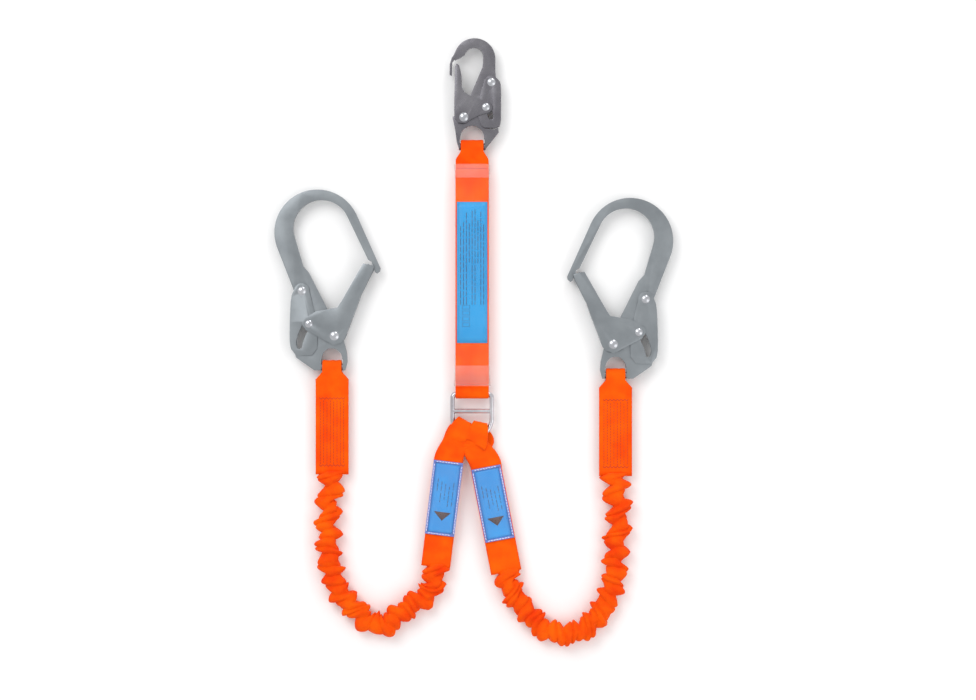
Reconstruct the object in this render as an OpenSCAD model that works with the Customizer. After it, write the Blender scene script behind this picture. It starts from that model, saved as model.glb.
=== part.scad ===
/* [Hook layers] */
// Thickness of each hook body plate
plate_t = 9; // [7:0.5:11]
// Gap between a hook body and its lock lever
layer_gap = 0.5; // [0.3:0.1:0.8]
// Sheet thickness of the lock levers
lever_t = 1.6; // [1.2:0.1:2]
// Sheet thickness of the gates
gate_t = 1.8; // [1.4:0.1:2.2]
// Height of the domed rivet heads
head_h = 1.9; // [1.2:0.1:2.5]

/* [Pins] */
// Radius of the gate rivets
gate_pin_r = 3.45; // [2.5:0.05:4]
// Radius of the lever rivets
lever_pin_r = 2.95; // [2.2:0.05:3.5]
// Radius of the link pins that run in the lever slots
link_pin_r = 2.6; // [2:0.1:3.2]
// Running clearance of every pin in its bore
pin_fit = 0.05; // [0.02:0.01:0.09]
// Clearance of each link pin in its lever slot
slot_fit = 0.8; // [0.5:0.1:1.2]
// Wire diameter of the torsion springs
spring_wire = 0.9; // [0.7:0.1:1]

/* [Travel] */
// Opening angle of the two large gates
big_open = 44; // [20:1:44]
// Opening angle of the small gate
small_open = 22; // [10:1:22]
// Degrees a large lock lever turns for each degree of its gate
big_ratio = 0.2; // [0.15:0.01:0.22]
// Degrees the small lock lever turns for each degree of its gate
small_ratio = 0.2; // [0.15:0.01:0.22]

/* [Webbing] */
// Width of the flat webbing
strap_w = 40; // [36:1:41]
// Thickness of the webbing
strap_t = 2.2; // [1.6:0.1:2.6]
// Radius of the round bar across each hook eye
bar_r = 4.2; // [3.5:0.1:4.6]
// Inner radius of each webbing loop round a hook bar
eye_loop_r = 6; // [5:0.1:6.5]

/* [Ring] */
// Wire diameter of the connector ring
ring_wire = 5.6; // [5:0.1:6]
// Radius of the ring's round end along the wire centre
ring_r = 23.6; // [22.5:0.1:25]
// Distance from the round end's centre to the ring's top bar
ring_rise = 29; // [26:0.5:32]
// Distance from the round end's centre to the cross bar
cross_rise = 8.5; // [6:0.5:10]

/* [Energy absorber] */
// Length of the folded tear webbing pack
pack_len = 258; // [220:1:262]
// Thickness of the folded tear webbing pack
pack_t = 17; // [14:0.5:18]
// Thickness of the clear film sleeve
film_t = 0.8; // [0.5:0.1:1.2]
// Length of the printed label
label_len = 169; // [120:1:190]
// Width of the printed label
label_w = 36.5; // [25:0.5:38]
// Thickness of the printed label
label_t = 0.5; // [0.3:0.1:1]

/* [Legs] */
// Length of each clear pouch
pouch_len = 89; // [70:1:92]
// Width of each clear pouch
pouch_w = 35.5; // [28:0.5:38]
// Thickness of each clear pouch
pouch_t = 2.4; // [1.8:0.1:4]
// Width of the gathered tubular webbing
sleeve_w = 32; // [28:1:34]
// Thickness of the gathered tubular webbing
sleeve_h = 20; // [16:1:21]
// Diameter of the elastic core
elastic_d = 9; // [6:0.5:11]

/* [Hidden] */
HOOK_PARTS = ["body", "gate", "lock_lever", "gate_rivet", "lever_rivet", "link_pin",
    "gate_spring", "lever_spring"];
HOOKS = ["snap", "left", "right"];
LEG_PARTS = ["ring_loop", "pouch", "pouch_card", "sleeve", "elastic_core", "hook_loop",
    "stitching"];
SIDES = ["left", "right"];

$fn = 48;
// Longer than any plate is thick, for cuts that go right through
through = 100;

// Half heights of the layers, counted from the mid plane of the hooks
plate_z = plate_t / 2;
lever_in = plate_z + layer_gap;
lever_out = lever_in + lever_t;
gate_in = lever_out + layer_gap;
gate_out = gate_in + gate_t;
head_in = gate_out + pin_fit;
mid_z = head_in + head_h;

STEEL = [0.52, 0.55, 0.60];
DARK_STEEL = [0.42, 0.41, 0.46];
ZINC = [0.72, 0.73, 0.76];
ORANGE = [1.0, 0.33, 0.05];
BLUE = [0.0, 0.55, 0.85];
CLEAR = [0.85, 0.9, 0.95, 0.4];

// ---------- plain geometry ----------
function turn(p, a) = [p.x * cos(a) - p.y * sin(a), p.x * sin(a) + p.y * cos(a)];
function about(p, c, a) = c + turn(p - c, a);
function arc(c, r, a, b, n = 16) =
    [for (i = [0:n]) c + r * [cos(a + (b - a) * i / n), sin(a + (b - a) * i / n)]];
function unit(v) = v / norm(v);
function left_of(v) = [-v.y, v.x];
function side(pts, i) =
    left_of(unit(pts[min(i + 1, len(pts) - 1)] - pts[max(i - 1, 0)]));
// A strip of the given width to the left of an open line
function strip(pts, w) = concat(pts,
    [for (i = [len(pts) - 1:-1:0]) pts[i] + w * side(pts, i)]);
// A point on the rounded line through four points
function bend(a, b, c, d, t) = 0.5 * (2 * b + (c - a) * t
    + (2 * a - 5 * b + 4 * c - d) * t * t + (3 * b - a - 3 * c + d) * t * t * t);
function smooth(pts, n) = let (m = len(pts) - 1) concat(
    [for (i = [0:m - 1]) for (k = [0:n - 1])
        bend(pts[max(i - 1, 0)], pts[i], pts[i + 1], pts[min(i + 2, m)], k / n)],
    [pts[m]]);

module slab(z0, z1) translate([0, 0, z0]) linear_extrude(z1 - z0) children();
module both_sides(z0, z1) {
    slab(z0, z1) children();
    slab(-z1, -z0) children();
}
module drill(c, r) translate([c.x, c.y, -through / 2]) cylinder(r = r, h = through);

module rivet(c, r, seat) {
    head_r = r + 2;
    translate([c.x, c.y, 0]) {
        translate([0, 0, -seat - 0.2]) cylinder(r = r, h = 2 * seat + 0.4);
        for (s = [0, 1]) mirror([0, 0, s]) translate([0, 0, seat])
            rotate_extrude() intersection() {
                square([head_r, head_h]);
                translate([0, head_h - head_r * 1.6]) circle(head_r * 1.6);
            }
    }
}

module torsion_spring(c, coil_r, z0, leg_a, leg_b, leg_len) {
    translate([c.x, c.y, z0]) {
        for (k = [0, 1]) translate([0, 0, spring_wire * (0.5 + 0.9 * k)])
            rotate_extrude() translate([coil_r, 0]) circle(d = spring_wire, $fn = 24);
        for (leg = [[leg_a, 0], [leg_b, 1]]) rotate(leg[0])
            translate([coil_r, 0, spring_wire * (0.5 + 0.9 * leg[1])])
            rotate([0, 90, 0]) cylinder(d = spring_wire, h = leg_len, $fn = 24);
    }
}

// ---------- hooks: every point is counted from the eye centre ----------
// Fields: gate pivot, link pin, lever pivot, gate turn, spring legs, bar height, bar half length
function pivot(h) = h == "snap" ? [-10, 24] : [3, 27];
function link(h) = h == "snap" ? [16.5, 36] : [-27.5, 41.5];
function lever_pivot(h) = h == "snap" ? [23, 66] : [-36, 81];
function open_turn(h) = h == "snap" ? -small_open : big_open;
function lever_ratio(h) = h == "snap" ? small_ratio : big_ratio;
function bar_y(h) = h == "snap" ? -11 : -10;
function bar_half(h) = h == "snap" ? 17 : 15;

// Corners between straight and round stretches of the large hook body
BIG_BOW = [-17.5, 151];
BIG_THROAT = [-12.5, 156];
function body_outline(h) = h == "snap"
    ? concat(
        [[-20.5, 92.5], [-22.8, 97.5]],
        arc([3, 94], 24.8, 150, 0, 22),
        [[27.8, 78], [30, 60], [31, 44]],
        [[26, 46], [11.5, 48], [10.5, 38], [11, 22], [14, 11], [27, 9], [31, 12], [31.8, 6]],
        [[15.5, -14.5], [-15.5, -14.5]],
        [[-18.5, -5], [-20.5, 10], [-23.5, 24], [-17.5, 29.5], [-8, 38], [-2.5, 49]],
        [[12.4, 84], [13, 90]],
        arc([2, 96.5], 11.2, -15, 165, 16),
        [[-13.5, 96]])
    : concat(
        [[51.5, 103.5], [54, 101.8], [57.4, 104.5], [58.2, 108]],
        arc(BIG_BOW, 51.5, 25.5, 199.3, 30),
        [[-46.5, 84], [-42, 70], [-33, 57], [-23, 48], [-21.5, 38], [-21.5, 13], [-26, 8.6]],
        [[-40, 7.6], [-44, 4.5], [-42.8, 1], [-21, -14.2], [16, -14.2], [18.6, -4], [18, 6]],
        [[14, 22], [5, 41], [-6, 59.7], [-23.7, 94.9], [-27.5, 102.6], [-34.4, 110.2]],
        arc(BIG_THROAT, 34, 196.7, 25.7, 30),
        [[43.4, 118.2], [47.4, 116]]);
function eye_r(h) = h == "snap" ? 14.2 : 12.2;

// The tongue on the snap hook's nose that closes over the gate tip
module nose_lip(h) if (h == "snap") slab(-3.2, 3.2)
    polygon([[-27, 75], [-24.2, 74], [-23.9, 90], [-20.8, 94], [-21.5, 99], [-24.2, 96], [-26.8, 88]]);

module hook_body(h) {
    difference() {
        union() {
            slab(-plate_z, plate_z) polygon(body_outline(h));
            nose_lip(h);
        }
        drill(pivot(h), gate_pin_r + pin_fit);
        drill(lever_pivot(h), lever_pin_r + pin_fit);
        // Pocket for the lever's spring
        translate([lever_pivot(h).x, lever_pivot(h).y, plate_z - 2]) cylinder(r = 7.4, h = 5);
        // Eye, open down to the round bar
        intersection() {
            drill([0, 0], eye_r(h));
            translate([-50, bar_y(h), -50]) cube(100);
        }
        translate([2 - bar_half(h), -40, -50])
            cube([2 * bar_half(h) - 4, 40 + bar_y(h) + eye_loop_r + strap_t + 0.8, 100]);
    }
    translate([-bar_half(h) + 1, bar_y(h), 0]) rotate([0, 90, 0])
        cylinder(r = bar_r, h = 2 * bar_half(h) - 2);
}

// Outer line of a gate along its web, from its tip down to the body
function gate_web(h) = h == "snap"
    ? [[-18.6, 88], [-20.2, 84], [-20.6, 70], [-21.4, 45], [-21.4, 31]]
    : [[44.2, 113.4], [44.8, 107], [39.6, 90], [30, 62], [18, 30.5]];
function gate_edge(h) = smooth(gate_web(h), 2);
function gate_arm(h) = h == "snap"
    ? concat(gate_edge(h), [[-21, 22], [-17, 17.5], [-8, 16.5], [0, 22], [8, 26]],
        arc(link(h) + [1, -0.5], 6.6, -60, 80, 12), [[6, 47], [-3, 50], [-9.6, 54], [-12.3, 60],
        [-13, 75], [-15.5, 86]])
    : concat([[50.8, 111.2], [49.6, 105.8], [43.4, 93.5]], [for (i = [5:8]) gate_edge(h)[i]],
        [[15.4, 24], [11, 19], [2, 16.2], [-31, 34]],
        arc(link(h) + [-1.5, 1], 6.8, 225, 110, 12), [[-19, 56.6], [-5.3, 58.9], [6.9, 61.2],
        [12, 69], [37.6, 113.8]]);

module hook_gate(h) {
    s = h == "snap" ? 1 : -1;
    difference() {
        union() {
            both_sides(gate_in, gate_out) polygon(gate_arm(h));
            slab(-gate_out, gate_out)
                polygon(strip(gate_edge(h), s * gate_t));
        }
        drill(pivot(h), gate_pin_r + pin_fit);
        drill(link(h), link_pin_r + pin_fit);
    }
}

// Places of the link pin seen from the lever: first the lever is pressed, then the gate turns
function pin_seen(h, lever_part, gate_part) = let (t = open_turn(h)) about(
    about(link(h), pivot(h), gate_part * t), lever_pivot(h), -lever_part * lever_ratio(h) * t);
function slot_line(h) = concat([pin_seen(h, 0, 0)],
    [for (k = [1:8]) pin_seen(h, (k + 8) / 16, (k - 1) / 8)], [pin_seen(h, 1, 1.05)]);
function direct_line(h) = [for (k = [1:8]) pin_seen(h, k / 8, k / 8)];
function shifted(path, w) = [for (i = [0:len(path) - 1]) path[i] + w * side(path, i)];
function reversed(path) = [for (i = [len(path) - 1:-1:0]) path[i]];
module kidney(h) {
    w = (h == "snap" ? -1 : 1) * (link_pin_r + slot_fit);
    outer = slot_line(h);
    inner = direct_line(h);
    last = len(outer) - 1;
    end_side = w * side(outer, last);
    end_way = abs(w) * unit(outer[last] - outer[last - 1]);
    start_side = w * side(inner, 0);
    start_way = abs(w) * unit(outer[0] - inner[0]);
    slant = sqrt(0.5);
    polygon(concat(shifted(outer, -w),
        [outer[last] + slant * (end_way - end_side), outer[last] + end_way,
            outer[last] + slant * (end_way + end_side)],
        reversed(shifted(inner, w)),
        [outer[0] + slant * (start_way + start_side), outer[0] + start_way,
            outer[0] + slant * (start_way - start_side)]));
}

function lever_edge(h) = h == "snap"
    ? [[32, 68], [34.4, 62], [34.6, 40], [34.4, 20], [33, 14]]
    : [[-47.6, 77], [-49.2, 68], [-50.3, 44], [-50.4, 20], [-48.6, 11]];
function lever_rim(h) = smooth(lever_edge(h), 2);
function lever_side(h) = h == "snap"
    ? concat(lever_rim(h), [[28, 11.4], [15, 11.4], [10.7, 14], [7, 25], [9, 49], [15.5, 70]],
        arc(lever_pivot(h), 8, 150, 45, 8))
    : concat(lever_rim(h), [[-42.5, 3.4], [-24, 4], [-17.8, 12], [-17.3, 26], [-21.4, 58],
        [-26.8, 80]], arc(lever_pivot(h), 9.2, 10, 150, 10));
module hook_lock_lever(h) {
    s = h == "snap" ? -1 : 1;
    difference() {
        union() {
            both_sides(lever_in, lever_out) difference() {
                polygon(lever_side(h));
                kidney(h);
            }
            slab(-lever_out, lever_out) polygon(strip(lever_rim(h), s * lever_t));
        }
        drill(lever_pivot(h), lever_pin_r + pin_fit);
    }
}

module hook_spring(h, at_gate) {
    s = h == "snap" ? -1 : 1;
    base = h == "snap" ? 180 : 0;
    if (at_gate)
        torsion_spring(pivot(h), gate_pin_r + 0.5 + spring_wire / 2, plate_z + 0.3,
            90 - s * 10, base - s * 2, 3.6);
    else
        torsion_spring(lever_pivot(h), lever_pin_r + 0.5 + spring_wire / 2, plate_z - 1.7,
            -90, 90, 2.4);
}

module hook_part(h, p) {
    if (p == "body") hook_body(h);
    if (p == "gate") hook_gate(h);
    if (p == "lock_lever") hook_lock_lever(h);
    if (p == "gate_rivet") rivet(pivot(h), gate_pin_r, head_in);
    if (p == "link_pin") rivet(link(h), link_pin_r, head_in);
    if (p == "lever_rivet") rivet(lever_pivot(h), lever_pin_r, lever_out + pin_fit);
    if (p == "gate_spring") hook_spring(h, true);
    if (p == "lever_spring") hook_spring(h, false);
}

// ---------- places ----------
// Moves the whole layout so that the origin is under the middle of its box
LAYOUT_SHIFT = [2, 2.3];
AXIS_X = -4;
HOOK_EYES = [[AXIS_X, 244], [-172, -21], [168, -31]];
RING_CENTRE = [AXIS_X, -92.5];
LEG_TOPS = [[-31, -134], [10, -139]];
LEG_TURNS = [-7, 11];
LEG_LENGTHS = [138, 141];
LOOP_ARCS = [[208, 252], [270, 312]];
SLEEVE_END_Y = [-160, -162];
// Routes of the gathered sleeves, from the pouch strap to the hook strap
ROUTES = [
    [[-48, -271.6], [-49.5, -283], [-53, -297], [-64, -308], [-79, -318], [-93, -329],
     [-109, -340], [-127, -337], [-141, -325], [-155, -311], [-165, -298], [-171, -281],
     [-175, -263], [-177, -239], [-177, -215], [-176, -190], [-173, -175], [-172, -167], [-172, -161]],
    [[37.1, -278.8], [39.4, -290], [50, -311], [63, -326], [77, -341], [95, -350], [113, -351],
     [129, -346], [143, -334], [154, -318], [162, -301], [167, -282], [168, -256], [170, -232],
     [172, -208], [169, -186], [168, -172], [168, -163]]];

function at_leg(i, p) = LEG_TOPS[i] + turn(p, LEG_TURNS[i]);
function bar_place(i) = HOOK_EYES[i] + [0, bar_y(HOOKS[i])];

module hook_place(i) translate([HOOK_EYES[i].x, HOOK_EYES[i].y, mid_z])
    rotate([0, i == 2 ? 180 : 0, 0]) children();

module leg_place(i) translate([LEG_TOPS[i].x, LEG_TOPS[i].y, mid_z]) rotate(LEG_TURNS[i])
    children();

// ---------- webbing loops ----------
// Side view of a loop round a bar at the origin, with both layers meeting at the tail
function loop_side(r, tail_half, tail) =
    concat(arc([0, 0], r, -12, 192, 24), [[-tail_half, -tail], [tail_half, -tail]]);

module loop_solid(r, tail, width) rotate([90, 0, 90])
    translate([0, 0, -width / 2]) linear_extrude(width) difference() {
        polygon([for (p = loop_side(r + strap_t, strap_t + 0.3, tail)) [p.y, p.x]]);
        polygon([for (p = loop_side(r, 0.3, tail - 4)) [p.y, p.x]]);
    }
function neck_plan(narrow, wide, tail) = [[-narrow, 20], [narrow, 20], [narrow, -8.5],
    [wide, -19], [wide, -tail - 1], [-wide, -tail - 1], [-wide, -19], [-narrow, -8.5]];
module eye_loop(i, tail) {
    narrow = bar_half(HOOKS[i]) - 3;
    intersection() {
        loop_solid(eye_loop_r, tail, strap_w);
        slab(-20, 20) polygon(neck_plan(narrow, strap_w / 2, tail));
    }
}

// ---------- energy absorber ----------
pack_top = 206;
fold_gap = 0.6;
fold_pitch = strap_t + fold_gap;
layers = floor((pack_t + fold_gap) / fold_pitch);
stack_t = layers * fold_pitch - fold_gap;
label_gap = 0.1;
sleeve_in_t = stack_t + 2 * (label_t + 2 * label_gap);
sleeve_in_w = strap_w + 0.6;
film_half = sleeve_in_t / 2 + film_t;
film_top = pack_top + 6;
film_bottom = pack_top - pack_len - 2;
label_mid_y = 82;

module across(width) rotate([90, 0, 90]) translate([0, 0, -width / 2]) linear_extrude(width)
    children();

// The folded strip's middle line, seen from its edge
fold_low = pack_top - pack_len + fold_pitch / 2 + strap_t / 2;
fold_high = pack_top - fold_pitch / 2 - strap_t / 2;
function fold_line() = [for (k = [0:layers - 1]) let (
    z = (strap_t - stack_t) / 2 + k * fold_pitch, up = k % 2 == 0,
    turn_y = up ? fold_high : fold_low, bow = up ? 90 : -90)
    each concat(k == 0 ? [[fold_low, z]] : [], k == layers - 1 ? [[turn_y, z]]
        : arc([turn_y, z + fold_pitch / 2], fold_pitch / 2, -90, -90 + 2 * bow, 8))];
module tear_webbing() color(ORANGE) translate([AXIS_X, 0, film_half]) across(strap_w)
    polygon(concat(shifted(fold_line(), -strap_t / 2), reversed(shifted(fold_line(), strap_t / 2))));

module rounded(w, h, r) {
    square([w - 2 * r, h], center = true);
    square([w, h - 2 * r], center = true);
    for (x = [-1, 1]) for (y = [-1, 1])
        translate([x * (w / 2 - r), y * (h / 2 - r)]) circle(r);
}
module film_sleeve() color(CLEAR) translate([AXIS_X, film_top, film_half]) rotate([90, 0, 0])
    linear_extrude(film_top - film_bottom) difference() {
        rounded(sleeve_in_w + 2 * film_t, 2 * film_half, 3);
        rounded(sleeve_in_w, sleeve_in_t, 1);
    }

module info_label() color(BLUE)
    translate([AXIS_X - label_w / 2, label_mid_y - label_len / 2,
        film_half + stack_t / 2 + label_gap]) cube([label_w, label_len, label_t]);

module upper_loop() color(ORANGE) translate([bar_place(0).x, bar_place(0).y, mid_z])
    eye_loop(0, bar_place(0).y - pack_top - 0.3);

ring_loop_r = ring_wire / 2 + 0.5;
lower_bar_y = RING_CENTRE.y + ring_rise;
module lower_loop() color(ORANGE) translate([AXIS_X, lower_bar_y, mid_z]) rotate(180)
    loop_solid(ring_loop_r, pack_top - pack_len - lower_bar_y - 0.3, strap_w);

// ---------- connector ring ----------
module rod(a, b) translate([a.x, a.y, 0]) rotate([0, 90, atan2(b.y - a.y, b.x - a.x)])
    cylinder(d = ring_wire, h = norm(b - a));
module ring_arc(r, a, b) rotate([0, 0, a]) rotate_extrude(angle = b - a)
    translate([r, 0]) circle(d = ring_wire);
module connector_ring() color(ZINC) translate([RING_CENTRE.x, RING_CENTRE.y, mid_z]) {
    corner_r = 5;
    ring_arc(ring_r, 180, 360);
    for (s = [-1, 1]) {
        rod([s * ring_r, 0], [s * ring_r, ring_rise - corner_r]);
        translate([s * (ring_r - corner_r), ring_rise - corner_r, 0])
            ring_arc(corner_r, s > 0 ? 0 : 90, s > 0 ? 90 : 180);
    }
    rod([corner_r - ring_r, ring_rise], [ring_r - corner_r, ring_rise]);
    rod([-ring_r, cross_rise], [ring_r, cross_rise]);
}

// ---------- legs ----------
leg_t = 2 * strap_t + 1.6;
leg_w = [35, 37];
module leg_ring_loop(i) color(ORANGE) {
    arc_from = LOOP_ARCS[i][0];
    arc_to = LOOP_ARCS[i][1];
    slot_in = 5;
    translate([RING_CENTRE.x, RING_CENTRE.y, mid_z]) rotate([0, 0, arc_from])
        rotate_extrude(angle = arc_to - arc_from) translate([ring_r, 0]) difference() {
            union() {
                circle(ring_loop_r + strap_t);
                translate([-slot_in, 0]) circle(ring_loop_r + strap_t);
                translate([-slot_in, -ring_loop_r - strap_t])
                    square([slot_in, 2 * (ring_loop_r + strap_t)]);
            }
            circle(ring_loop_r);
            translate([-slot_in, 0]) circle(ring_loop_r);
            translate([-slot_in, -ring_loop_r]) square([slot_in, 2 * ring_loop_r]);
        }
    near = ring_r + ring_loop_r + 0.6;
    translate([0, 0, mid_z]) difference() {
        slab(-leg_t / 2, leg_t / 2) polygon([
            RING_CENTRE + near * [cos(arc_from + 3), sin(arc_from + 3)],
            at_leg(i, [-leg_w[i] / 2, -6]), at_leg(i, [-leg_w[i] / 2, -LEG_LENGTHS[i]]),
            at_leg(i, [leg_w[i] / 2, -LEG_LENGTHS[i]]), at_leg(i, [leg_w[i] / 2, -6]),
            RING_CENTRE + near * [cos(arc_to - 3), sin(arc_to - 3)],
            RING_CENTRE + 20 * [cos((arc_from + arc_to) / 2), sin((arc_from + arc_to) / 2)]]);
        translate([RING_CENTRE.x, RING_CENTRE.y, -20]) cylinder(r = near - 0.3, h = 40);
    }
}

POUCH_DROP = [55, 57];
pouch_wall = 0.7;
card_gap = 0.1;
pouch_seam = 2.5;
module leg_pouch(i) color(CLEAR) leg_place(i)
    translate([0, -POUCH_DROP[i], leg_t / 2 + 0.1]) difference() {
        translate([-pouch_w / 2, -pouch_len / 2, 0]) cube([pouch_w, pouch_len, pouch_t]);
        translate([pouch_seam - pouch_w / 2, pouch_seam - pouch_len / 2, pouch_wall])
            cube([pouch_w - 2 * pouch_seam, pouch_len, pouch_t - 2 * pouch_wall]);
    }
module leg_pouch_card(i) color(BLUE) leg_place(i)
    translate([pouch_seam - pouch_w / 2 + card_gap, pouch_seam - pouch_len / 2 + card_gap,
        leg_t / 2 + 0.1 + pouch_wall + card_gap]) translate([0, -POUCH_DROP[i], 0])
    cube([pouch_w - 2 * (pouch_seam + card_gap), pouch_len - 2 * pouch_seam,
        pouch_t - 2 * (pouch_wall + card_gap)]);

// A ring of points round one place of a route
tube_sides = 12;
function ring_points(path, i, half_w, half_h) = let (
    s = side(path, i)) [for (k = [0:tube_sides - 1]) let (a = 360 * k / tube_sides)
        [path[i].x + s.x * half_w * cos(a), path[i].y + s.y * half_w * cos(a), half_h * sin(a)]];
function wall_faces(first, rings, flip) = [for (r = [0:rings - 2]) for (k = [0:tube_sides - 1])
    let (a = first + r * tube_sides + k, b = first + r * tube_sides + (k + 1) % tube_sides,
        quad = [a, b, b + tube_sides, a + tube_sides])
    flip ? [quad[3], quad[2], quad[1], quad[0]] : quad];
module tube(path, half_w, half_h, hole) {
    m = len(path);
    outer = [for (i = [0:m - 1]) each ring_points(path, i, half_w, half_h)];
    inner = [for (i = [0:m - 1]) each ring_points(path, i, hole, hole)];
    last = (m - 1) * tube_sides;
    start_cap = hole > 0 ? [for (k = [0:tube_sides - 1]) let (n = (k + 1) % tube_sides)
        [n, k, m * tube_sides + k, m * tube_sides + n]] : [[for (k = [tube_sides - 1:-1:0]) k]];
    end_cap = hole > 0 ? [for (k = [0:tube_sides - 1]) let (n = (k + 1) % tube_sides)
        [last + k, last + n, last + m * tube_sides + n, last + m * tube_sides + k]]
        : [[for (k = [0:tube_sides - 1]) last + k]];
    faces = concat(wall_faces(0, m, false),
        hole > 0 ? wall_faces(m * tube_sides, m, true) : [], start_cap, end_cap);
    translate([0, 0, mid_z]) polyhedron(hole > 0 ? concat(outer, inner) : outer,
        [for (f = faces) [for (k = [len(f) - 1:-1:0]) f[k]]]);
}
function route(i) = smooth(ROUTES[i], 3);
module leg_sleeve(i) color(ORANGE) tube(route(i), sleeve_w / 2, sleeve_h / 2, elastic_d / 2 + 1);
module leg_elastic_core(i) color([0.9, 0.85, 0.75])
    tube(route(i), elastic_d / 2, elastic_d / 2, 0);

strap_tail = 26;
module leg_hook_loop(i) color(ORANGE) {
    b = bar_place(i + 1);
    translate([b.x, b.y, mid_z]) eye_loop(i + 1, strap_tail);
    translate([b.x - strap_w / 2, SLEEVE_END_Y[i], mid_z - leg_t / 2])
        cube([strap_w, b.y - strap_tail + 1 - SLEEVE_END_Y[i], leg_t]);
}

stitch_rows = 8;
stitch_len = 78;
module leg_stitching(i) color([0.6, 0.12, 0.02]) {
    b = bar_place(i + 1);
    for (k = [0:stitch_rows - 1])
        translate([b.x + (k - (stitch_rows - 1) / 2) * 4 - 0.4, SLEEVE_END_Y[i] + 12,
            mid_z + leg_t / 2 + 0.02]) cube([0.8, stitch_len, 0.5]);
    translate([b.x - 15, SLEEVE_END_Y[i] + 12 + stitch_len + 1, mid_z + leg_t / 2 + 0.02])
        cube([30, 1, 0.5]);
}

module leg_part(i, p) {
    if (p == "ring_loop") leg_ring_loop(i);
    if (p == "pouch") leg_pouch(i);
    if (p == "pouch_card") leg_pouch_card(i);
    if (p == "sleeve") leg_sleeve(i);
    if (p == "elastic_core") leg_elastic_core(i);
    if (p == "hook_loop") leg_hook_loop(i);
    if (p == "stitching") leg_stitching(i);
}

module laid_out() translate([LAYOUT_SHIFT.x, LAYOUT_SHIFT.y, 0]) children();

for (i = [0:2]) for (p = HOOK_PARTS)
    laid_out() color(i == 0 ? DARK_STEEL : STEEL) hook_place(i) hook_part(HOOKS[i], p);
for (i = [0, 1]) for (p = LEG_PARTS)
    laid_out() leg_part(i, p);
laid_out() connector_ring();
laid_out() tear_webbing();
laid_out() upper_loop();
laid_out() lower_loop();
laid_out() film_sleeve();
laid_out() info_label();
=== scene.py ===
"""Looks of a twin-leg shock absorbing lanyard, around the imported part. Lengths in metres."""

import math

import bmesh
import bpy
import numpy as np
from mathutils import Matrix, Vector


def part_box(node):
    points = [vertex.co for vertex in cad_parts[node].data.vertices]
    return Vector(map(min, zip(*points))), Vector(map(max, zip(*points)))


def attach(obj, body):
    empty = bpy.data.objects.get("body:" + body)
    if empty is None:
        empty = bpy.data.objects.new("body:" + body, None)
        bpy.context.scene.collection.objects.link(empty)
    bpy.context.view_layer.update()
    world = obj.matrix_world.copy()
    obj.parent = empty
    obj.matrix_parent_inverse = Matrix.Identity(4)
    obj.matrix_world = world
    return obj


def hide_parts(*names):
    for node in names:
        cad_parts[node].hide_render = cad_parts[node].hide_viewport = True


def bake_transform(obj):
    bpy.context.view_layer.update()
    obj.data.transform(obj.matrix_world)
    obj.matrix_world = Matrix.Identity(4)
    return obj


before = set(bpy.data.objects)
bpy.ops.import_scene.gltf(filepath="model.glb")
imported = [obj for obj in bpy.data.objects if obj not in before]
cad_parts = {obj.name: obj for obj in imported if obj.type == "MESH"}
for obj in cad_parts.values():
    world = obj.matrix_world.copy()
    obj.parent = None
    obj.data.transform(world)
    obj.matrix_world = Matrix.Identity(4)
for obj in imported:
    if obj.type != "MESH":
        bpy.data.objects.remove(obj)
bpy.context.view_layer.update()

MM = 0.001
SIDES = ("left", "right")
HOOKS = ("snap", "left", "right")
STRAP_T = 2.2 * MM
STRAP_HALF = 20 * MM


def middle(node):
    low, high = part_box(node)
    return (Vector(low) + Vector(high)) / 2


MID_Z = middle("connector_ring").z


# ---------- camera, floor and light ----------
def make_camera():
    data = bpy.data.cameras.new("camera")
    data.sensor_width = 36
    height = 3.2
    seen_width = 1.171
    data.lens = data.sensor_width * (height - MID_Z) / seen_width
    camera = bpy.data.objects.new("camera", data)
    camera.location = (0.017, -0.0085, height)
    bpy.context.collection.objects.link(camera)
    bpy.context.scene.camera = camera


def area_light(name, place, target, size, power):
    data = bpy.data.lights.new(name, "AREA")
    data.size = size
    data.energy = power
    light = bpy.data.objects.new(name, data)
    light.location = place
    light.rotation_euler = (Vector(target) - Vector(place)).to_track_quat("-Z", "Y").to_euler()
    bpy.context.collection.objects.link(light)


def make_stage():
    world = bpy.data.worlds.new("studio")
    bpy.context.scene.world = world
    world.use_nodes = True
    back = world.node_tree.nodes["Background"]
    back.inputs["Color"].default_value = (1, 1, 1, 1)
    back.inputs["Strength"].default_value = 0.85
    area_light("key", (-1.2, 1.3, 1.9), (0, 0, 0), 1.5, 24)
    area_light("fill", (1.6, -0.8, 1.6), (0, 0, 0), 1.6, 9)
    area_light("rim", (0.6, 1.8, 0.9), (0, 0, 0), 0.5, 6)
    bpy.ops.mesh.primitive_plane_add(size=14, location=(0, 0, -0.0003))
    floor = bpy.context.object
    floor.name = "floor"
    paint = new_material("floor_paint", (0.93, 0.93, 0.93), 0.85)
    floor.data.materials.append(paint)
    bpy.context.scene.view_settings.view_transform = "Standard"


# ---------- materials ----------
def new_material(name, colour, roughness, metallic=0.0):
    material = bpy.data.materials.new(name)
    material.use_nodes = True
    shader = material.node_tree.nodes["Principled BSDF"]
    shader.inputs["Base Color"].default_value = (*colour, 1)
    shader.inputs["Roughness"].default_value = roughness
    shader.inputs["Metallic"].default_value = metallic
    return material


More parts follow.
